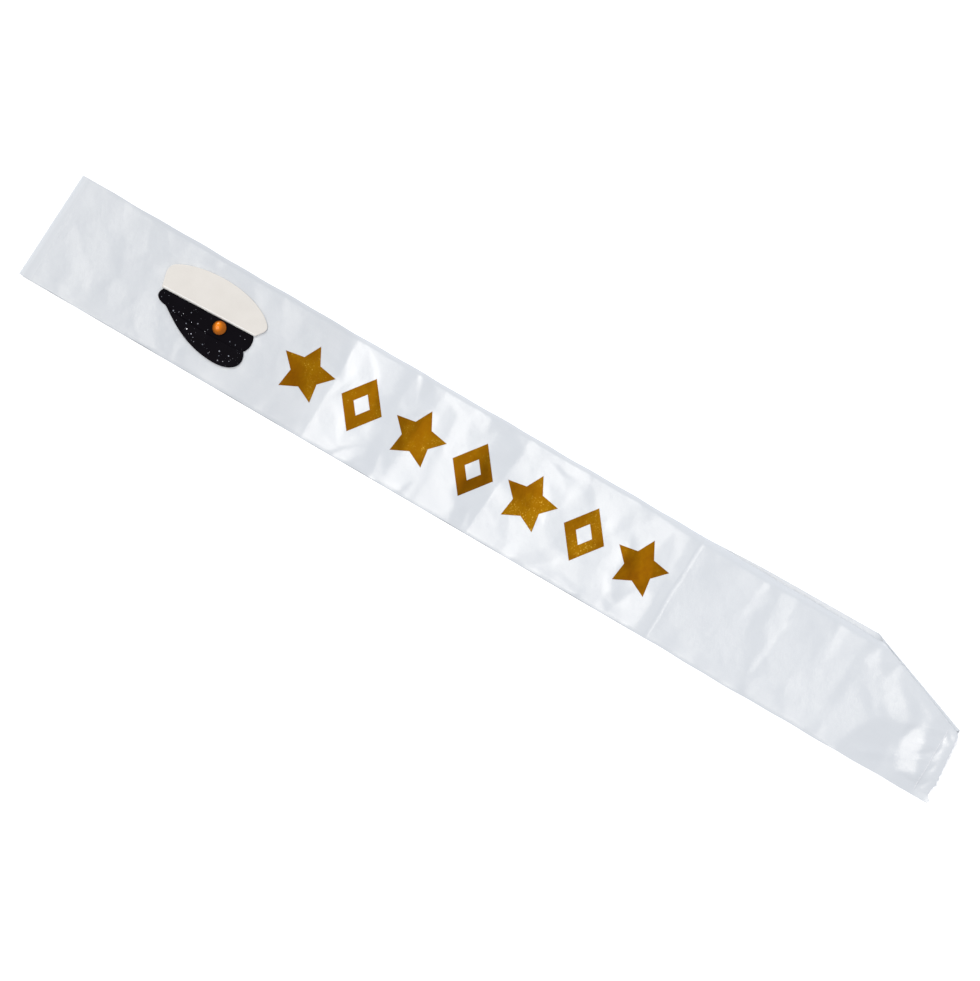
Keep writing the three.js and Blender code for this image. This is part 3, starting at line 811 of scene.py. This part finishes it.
def foilPiece(name, x, y, tips):
    # a star from a fan of triangles, or a lozenge ring from a square
    middle = Vector(placed(x, y))
    deselect()
    bpy.ops.mesh.primitive_circle_add(
        vertices=2 * foil["starTips"] if tips else 4, fill_type="TRIFAN" if tips else "NGON",
        radius=foil["starOuter"] * mm, location=middle, rotation=(0, 0, 0))
    piece = settle(bpy.context.object)
    piece.name = name
    bpy.ops.object.mode_set(mode="EDIT")
    bpy.ops.mesh.select_mode(type="VERT")
    bpy.ops.mesh.select_all(action="DESELECT")
    closeMesh()
    rim = [v for v in piece.data.vertices if (v.co - middle).length > 1e-4]  # all but the fan's middle
    rim.sort(key=lambda v: math.atan2(v.co.x - middle.x, v.co.y - middle.y) % (2 * math.pi))
    for v in rim[1::2] if tips else rim:
        v.select = True
    if tips:
        ratio = (foil["starInner"] / foil["starOuter"],) * 3
    else:
        ratio = (foil["lozengeWide"] / foil["starOuter"], foil["lozengeHigh"] / foil["starOuter"], 1)
    bpy.context.scene.cursor.location = middle
    bpy.context.scene.tool_settings.transform_pivot_point = "CURSOR"
    bpy.ops.object.mode_set(mode="EDIT")
    bpy.ops.transform.resize(value=ratio, center_override=middle)
    bpy.ops.mesh.select_all(action="SELECT")
    if not tips:
        bpy.ops.mesh.select_mode(type="FACE")
        bpy.ops.mesh.inset(thickness=foil["lozengeRim"] * mm, depth=0)
        bpy.ops.mesh.delete(type="FACE")
        bpy.ops.mesh.select_all(action="SELECT")
    bpy.ops.mesh.subdivide(number_cuts=foil["starCuts"] if tips else foil["lozengeCuts"])
    bpy.ops.mesh.select_all(action="SELECT")
    bpy.ops.mesh.normals_make_consistent(inside=False)
    closeMesh()
    if piece.data.polygons[0].normal.z < 0:
        openMesh(piece)
        bpy.ops.mesh.flip_normals()
        closeMesh()
    layOnSatin(piece, foil["lift"])
    modify(piece, "SOLIDIFY", thickness=foil["thick"] * mm, offset=1)
    smooth(piece, foil["smoothTo"])
    return dress(piece, goldFoil, name.replace("gold", "foil"))


for place in range(foil["count"]):
    kind = "lozenge" if place % 2 else "star"
    foilPiece(f"gold_{kind}_{place // 2 + 1}", foil["firstX"] + place * foil["pitch"], 0, place % 2 == 0)
print("foil ornaments laid on")


# The cap badge: felt pieces cut from their outlines. A knot is its place and its two handles.

crown = [
    ((-340.6, 1.6), None, None), ((-343.6, 14), None, (-344.4, 17.6)),
    ((-339.5, 24.6), (-343.2, 22.2), (-325, 33.5)), ((-268, 31), (-294, 38.5), (-257, 27.5)),
    ((-245, 17.6), (-249, 23), (-243.9, 15.6)), ((-245.4, 11.4), (-244.1, 13.2), None),
    ((-250.2, 4.9), None, None),
]
band = [
    ((-338.4, 1.2), None, (-340.1, -0.9)), ((-340, -6), (-340.8, -3.3), (-338.5, -8.4)),
    ((-331, -10.4), (-336, -9.9), (-310, -14.6)), ((-252.4, -11.85), (-275, -15.05), (-250.4, -9.8)),
    ((-249.2, -3), (-249.2, -6.7), (-249.3, 0.3)), ((-251.4, 4.4), (-250.1, 2.8), None),
]
visor = [
    ((-329.9, -10.5), (-310, -14.5), (-318, -18)), ((-270, -32.6), (-300, -32.6), (-256, -32.2)),
    ((-249.4, -18.4), (-248.6, -26), (-249.7, -15.9)), ((-252.2, -11.45), (-250.6, -13.5), (-275, -14.7)),
]
felt = {
    "crown": (2.2, 0.5), "band": (1.4, 0.1), "visor": (1.8, 0.2),  # thickness and padding
    "grain": 0.42, "rounding": 5, "lift": 0.06, "curveSteps": 24, "weld": 1e-6, "domePower": 4,
}


def feltPiece(name, outline, thick, puff, finish, slot, node):
    # a filled curve, made thick, remeshed fine and rounded off, and then laid on the satin
    deselect()
    bpy.ops.curve.primitive_bezier_curve_add(location=(0, 0, 0))
    piece = bpy.context.object
    piece.name = name
    piece.data.dimensions = "2D"
    piece.data.fill_mode = "BOTH"
    piece.data.resolution_u = felt["curveSteps"]
    spline = piece.data.splines[0]
    spline.bezier_points.add(len(outline) - 2)
    spline.use_cyclic_u = True
    for knot, (spot, before, after) in zip(spline.bezier_points, outline):
        knot.handle_left_type = knot.handle_right_type = "FREE"
        knot.co = placed(*spot)
        knot.handle_left = placed(*(before or spot))
        knot.handle_right = placed(*(after or spot))
    piece.data.extrude = thick / 2 * mm
    pick(piece)
    bpy.ops.object.convert(target="MESH")
    piece = bpy.context.object
    openMesh(piece)
    bpy.ops.mesh.remove_doubles(threshold=felt["weld"])
    bpy.ops.mesh.normals_make_consistent(inside=False)
    closeMesh()
    piece.data.remesh_voxel_size = felt["grain"] * mm
    pick(piece)
    bpy.ops.object.voxel_remesh()
    piece = bpy.context.object
    modify(piece, "SMOOTH", factor=0.5, iterations=felt["rounding"])
    points = readPoints(piece)
    low, high = points.min(0), points.max(0)
    points[:, 2] -= low[2]
    # padded towards the middle, thinner at the edge
    centre, half = (low + high) / 2, (high - low) / 2
    off = np.abs((points[:, :2] - centre[:2]) / half[:2])
    padding = np.clip(1 - off ** felt["domePower"], 0, 1)
    dome = padding[:, 0] * padding[:, 1]
    points[:, 2] += puff * mm * dome * (points[:, 2] / (thick * mm))
    writePoints(piece, points)
    layOnSatin(piece, felt["lift"])
    smooth(piece)
    dress(piece, finish, node)
    flat = tuple((high - low)[:2].tolist())
    return piece


crownPiece = feltPiece("felt_crown", crown, *felt["crown"], creamFelt, "cream_felt", "cap_crown")
bandPiece = feltPiece("felt_band", band, *felt["band"], blackBand, "black_band", "cap_band")
visorPiece = feltPiece("felt_visor", visor, *felt["visor"], blackVisor, "black_glitter", "cap_visor")
print("cap badge cut:", *(len(piece.data.polygons) for piece in (crownPiece, bandPiece, visorPiece)))


def badgeTop(x, y, pieces):
    # highest point of the badge pieces over a spot, in millimetres
    start = Vector(((x + shiftX) * mm, (y + shiftY) * mm, above))
    highest = 0
    for piece in pieces:
        hit, spot, _, _ = piece.ray_cast(start, down)
        if hit:
            highest = max(highest, spot.z / mm)
    return highest


def domedButton():
    deselect()
    bpy.ops.mesh.primitive_uv_sphere_add(
        segments=button["segments"], ring_count=button["rings"], radius=button["radius"] * mm,
        location=(0, 0, 0))
    piece = bpy.context.object
    piece.name = "gold_button"
    openMesh(piece)
    bpy.ops.mesh.bisect(plane_co=(0, 0, 0), plane_no=(0, 0, 1), clear_inner=True, use_fill=False)
    bpy.ops.mesh.select_all(action="SELECT")
    bpy.ops.transform.resize(value=(1, 1, button["rise"] / button["radius"]), center_override=(0, 0, 0))
    bpy.ops.mesh.select_all(action="DESELECT")
    bpy.ops.mesh.select_mode(type="EDGE")
    bpy.ops.mesh.select_non_manifold()
    bpy.ops.mesh.extrude_region_move(TRANSFORM_OT_translate={"value": (0, 0, -button["foot"] * mm)})
    bpy.ops.mesh.fill()
    bpy.ops.mesh.select_all(action="SELECT")
    bpy.ops.mesh.normals_make_consistent(inside=False)
    closeMesh()
    # it sits on the highest spot under its rim
    seat = 0
    for turn in np.linspace(0, 6.28, button["seats"]):
        x = button["x"] + button["radius"] * math.cos(turn)
        y = button["y"] + button["radius"] * math.sin(turn)
        seat = max(seat, badgeTop(x, y, [bandPiece, visorPiece]))
    height = seat + button["foot"] + button["gap"]
    piece.location = placed(button["x"], button["y"], height)
    settle(piece)
    modify(piece, "BEVEL", width=button["edge"] * mm, segments=button["edgeSteps"], limit_method="ANGLE",
           angle_limit=math.radians(button["smoothTo"]))
    smooth(piece, button["smoothTo"])
    return dress(piece, orangeGold, "cap_button")


domedButton()
print("button set")


# Small pieces: felt edge with a painted highlight, glitter, stitches and frayed threads.

thread = {"thinning": 0.6, "order": 4, "fineness": 3, "smoothTo": 60}


def strand(name, path, radius, sides=8, taper=False):
    # a thread along a path, in millimetres, made as a curve and turned into a mesh
    deselect()
    bpy.ops.curve.primitive_nurbs_path_add(location=(0, 0, 0))
    piece = bpy.context.object
    piece.name = name
    curve = piece.data
    curve.splines.clear()
    spline = curve.splines.new("NURBS")
    spline.points.add(len(path) - 1)
    for i, (point, spot) in enumerate(zip(spline.points, path)):
        point.co = (*placed(*spot), 1)
        point.radius = 1 - thread["thinning"] * i / (len(path) - 1) if taper else 1
    spline.use_endpoint_u = True
    spline.order_u = min(thread["order"], len(path))
    curve.resolution_u = thread["fineness"]
    curve.bevel_depth = radius * mm
    curve.bevel_resolution = max(0, sides // 4 - 1)
    curve.use_fill_caps = True
    pick(piece)
    bpy.ops.object.convert(target="MESH")
    return smooth(bpy.context.object, thread["smoothTo"])


def joined(pieces, name):
    deselect()
    for piece in pieces:
        piece.select_set(True)
    bpy.context.view_layer.objects.active = pieces[0]
    bpy.ops.object.join()
    bpy.context.object.name = name
    return bpy.context.object


piping = {
    "from": (-339.6, 2.9), "to": (-251.0, 5.9), "radius": 0.5, "points": 60,
    "sway": 0.16, "inset": 0.6, "sink": 0.15, "bob": 0.12,
}


def crownPiping():
    # the crown's pale cut edge along its foot, its colour painted paler than the felt as a highlight
    path = []
    for share in np.linspace(0, 1, piping["points"]):
        x = mix(piping["from"][0], piping["to"][0], share)
        y = mix(piping["from"][1], piping["to"][1], share) + piping["sway"] * rng.uniform(-1, 1)
        foot = badgeTop(x, y + piping["inset"], [crownPiece]) - piping["sink"]
        path.append((x, y, foot + piping["bob"] * rng.uniform(-1, 1)))
    return dress(strand("felt_cut_edge", path, piping["radius"]), feltEdgeHighlight, None)


crownPiping()

glitter = {
    "sides": 6, "radius": 0.62, "thick": 0.1, "edge": 0.02, "edgeAngle": 40,
    "tilt": 24, "turn": 3, "rise": 0.1, "risePerSize": 0.12,
    "small": 55, "alongX": (-338, -250), "acrossY": (-32, 3), "sizes": (0.15, 0.33),  # strewn by chance
    "clear": 7.5,  # none so near to the button's middle
    # the flakes that stand out: place and share of the full size
    "spots": [
        (-321.8, -11.2, 1.1), (-306.8, -15.2, 1.0), (-304.0, -19.0, 1.05), (-298.6, -20.7, 0.9),
        (-298.0, -10.3, 1.0), (-295.8, -22.6, 0.7), (-293.4, -25.4, 0.8), (-285.6, -23.7, 1.1),
        (-307.6, -4.9, 0.8), (-270.2, -21.4, 1.25), (-261.3, -21.0, 1.0), (-268.6, -25.0, 0.9),
        (-267.6, -29.0, 0.9), (-258.8, -24.8, 0.7), (-261.0, -10.0, 0.8), (-266.6, -9.8, 0.9),
        (-315.4, -17.0, 0.7), (-263.4, -27.6, 0.7), (-305.5, -0.6, 0.6), (-313.0, -9.0, 0.6),
        (-256.4, -1.6, 0.6), (-261.2, -1.2, 0.6), (-336.5, -5.9, 0.6), (-277.8, -27.8, 0.6),
        (-289.4, -13.1, 0.6),
    ],
}


def glitterFlakes():
    # one flake, copied to each place and tilted by chance
    deselect()
    bpy.ops.mesh.primitive_cylinder_add(
        vertices=glitter["sides"], radius=glitter["radius"] * mm, depth=glitter["thick"] * mm)
    first = bpy.context.object
    modify(first, "BEVEL", width=glitter["edge"] * mm, segments=1, limit_method="ANGLE",
           angle_limit=math.radians(glitter["edgeAngle"]))
    spots = list(glitter["spots"])
    while len(spots) < len(glitter["spots"]) + glitter["small"]:
        x, y = rng.uniform(*glitter["alongX"]), rng.uniform(*glitter["acrossY"])
        clear = math.hypot(x - button["x"], y - button["y"]) > glitter["clear"]
        if clear and badgeTop(x, y, [visorPiece, bandPiece]) > 0:
            spots.append((x, y, rng.uniform(*glitter["sizes"])))
    flakes = []
    for x, y, size in spots:
        flake = first.copy()
        flake.data = first.data.copy()
        bpy.context.collection.objects.link(flake)
        tiltX, tiltY = rng.uniform(-glitter["tilt"], glitter["tilt"], 2)
        flake.rotation_euler = (math.radians(tiltX), math.radians(tiltY), rng.uniform(0, glitter["turn"]))
        flake.scale = (size, size, 1)
        z = badgeTop(x, y, [visorPiece, bandPiece]) + glitter["rise"] + glitter["risePerSize"] * size
        flake.location = placed(x, y, z)
        flakes.append(flake)
    bpy.data.objects.remove(first)
    return dress(settle(joined(flakes, "silver_flakes")), silverFlake, None)


glitterFlakes()

stitch = {"long": 3.2, "gap": 1.0, "radius": 0.28, "sag": 0.08, "points": 7, "sway": 0.25, "swayLong": 5}


def satinTop(x, y):
    # the same in millimetres
    return satinUnder(*placed(x, y)[:2]) / mm


def seamStitches():
    # one row of machine stitches, each a short thread that dips into the satin at both ends
    rows = []
    y = seam["low"]
    while y + stitch["long"] < seam["high"]:
        path = []
        for share in np.linspace(0, 1, stitch["points"]):
            spot = y + stitch["long"] * share
            x = seam["x"] + stitch["sway"] * math.sin(spot / stitch["swayLong"])
            over = stitch["radius"] * math.sin(math.pi * share) - stitch["sag"]
            path.append((x, spot, satinTop(x, spot) + over))
        rows.append(strand("stitch", path, stitch["radius"]))
        y += stitch["long"] + stitch["gap"]
    return dress(joined(rows, "seam_stitches"), whiteThread, None)


seamRow = seamStitches()

fray = {
    "count": 110, "radius": 0.07, "long": (1.0, 4.2), "from": -51, "to": 12, "root": 0.6, "endX": 450.4,
    "bends": 3, "bendLong": 0.35, "heading": 0.5, "turn": 0.35, "bob": (-0.5, 0.35), "lowest": 0.3,
    "tufts": [(-8, 1.5), (-34, 2.2), (-41, 2.2), (4, 3), (-20, 9), (-48, 2.5)],  # middle and spread
}


def frayedEnd():
    # loose threads of the weave at the front run's cut end, thicker in a few tufts
    threads = []
    for i in range(fray["count"]):
        middle, spread = fray["tufts"][i % len(fray["tufts"])]
        y = float(np.clip(rng.normal(middle, spread), fray["from"], fray["to"]))
        x = float(cutX(y)) - fray["root"]
        z = satinTop(x - fray["root"], y)
        step = rng.uniform(*fray["long"]) * fray["bendLong"]
        heading = rng.normal(0, fray["heading"])
        path = [(x, y, z)]
        for _ in range(fray["bends"]):
            heading += rng.normal(0, fray["turn"])
            x += step * math.cos(heading)
            y += step * math.sin(heading)
            z = max(fray["lowest"], z + rng.uniform(*fray["bob"]))
            path.append((x, y, z))
        path = [(min(px, fray["endX"]), py, pz) for px, py, pz in path]
        threads.append(strand("loose_thread", path, fray["radius"], sides=4, taper=True))
    return dress(joined(threads, "frayed_threads"), whiteThread, None)


looseEnds = frayedEnd()
print("small pieces made")


# Camera, light and floor. The camera looks straight down from far off, turned about its own line of sight.

shot = {
    "turn": 30.2, "centre": (490, 490.5), "origin": (504.0, 488.0), "pixel": 0.8582,
    "height": 24.0, "satinTop": 0.008, "rows": 981, "reach": 60,
}


def setCamera():
    turn = math.radians(shot["turn"])
    right = (shot["centre"][0] - shot["origin"][0]) * shot["pixel"]
    up = (shot["origin"][1] - shot["centre"][1]) * shot["pixel"]
    x = shiftX + right * math.cos(turn) - up * math.sin(turn)
    y = shiftY + right * math.sin(turn) + up * math.cos(turn)
    deselect()
    bpy.ops.object.camera_add(location=(x * mm, y * mm, shot["height"]), rotation=(0, 0, turn))
    camera = bpy.context.object
    wide = shot["rows"] * shot["pixel"] * mm
    camera.data.lens = camera.data.sensor_width * (shot["height"] - shot["satinTop"]) / wide
    camera.data.clip_end = shot["reach"]
    bpy.context.scene.camera = camera


# Two lamps in a white room: a wide soft one that leans off the camera's line towards the shoulder end, and
# a smaller one for the button's gleam.
light = {
    "world": 0.54, "air": (0.965, 0.99, 1.08),
    "soft": {"energy": 1.0, "spread": 28, "lean": 16, "heading": 200, "colour": (1, 0.94, 0.85)},
    "high": {"energy": 1.1, "spread": 14, "lean": 40, "heading": 135, "colour": (1, 1, 1)},
}
paper = {
    "size": 12, "below": 0.0002, "glow": 0.5, "grain": 6, "dark": (0.9, 0.9, 0.9), "pale": (0.93, 0.93, 0.93),
}


def setStage():
    world = bpy.data.worlds.new("studio")
    world.use_nodes = True
    background = world.node_tree.nodes["Background"]
    background.inputs[0].default_value = (*light["air"], 1)
    background.inputs[1].default_value = light["world"]
    bpy.context.scene.world = world
    bpy.context.scene.view_settings.view_transform = "Standard"
    for name in ("soft", "high"):
        lean, heading = (math.radians(light[name][key]) for key in ("lean", "heading"))
        deselect()
        bpy.ops.object.light_add(type="SUN", location=(0, 0, 3), rotation=(0, lean, heading))
        lamp = bpy.context.object
        lamp.name = f"{name}_light"
        lamp.data.energy = light[name]["energy"]
        lamp.data.color = light[name]["colour"]
        lamp.data.angle = math.radians(light[name]["spread"])
    deselect()
    bpy.ops.mesh.primitive_plane_add(size=paper["size"], location=(0, 0, -paper["below"]))
    floor = bpy.context.object
    floor.name = "floor"
    made = Finish("white_paper", Roughness=0.9, Specular_IOR_Level=0.1,
                  Emission_Color=(1, 1, 1), Emission_Strength=paper["glow"])
    colour = made.blend(made.noise(made.place(), paper["grain"]), paper["dark"], paper["pale"])
    floor.data.materials.append(made.wear(Base_Color=colour))


setCamera()
setStage()
print("camera and light set")
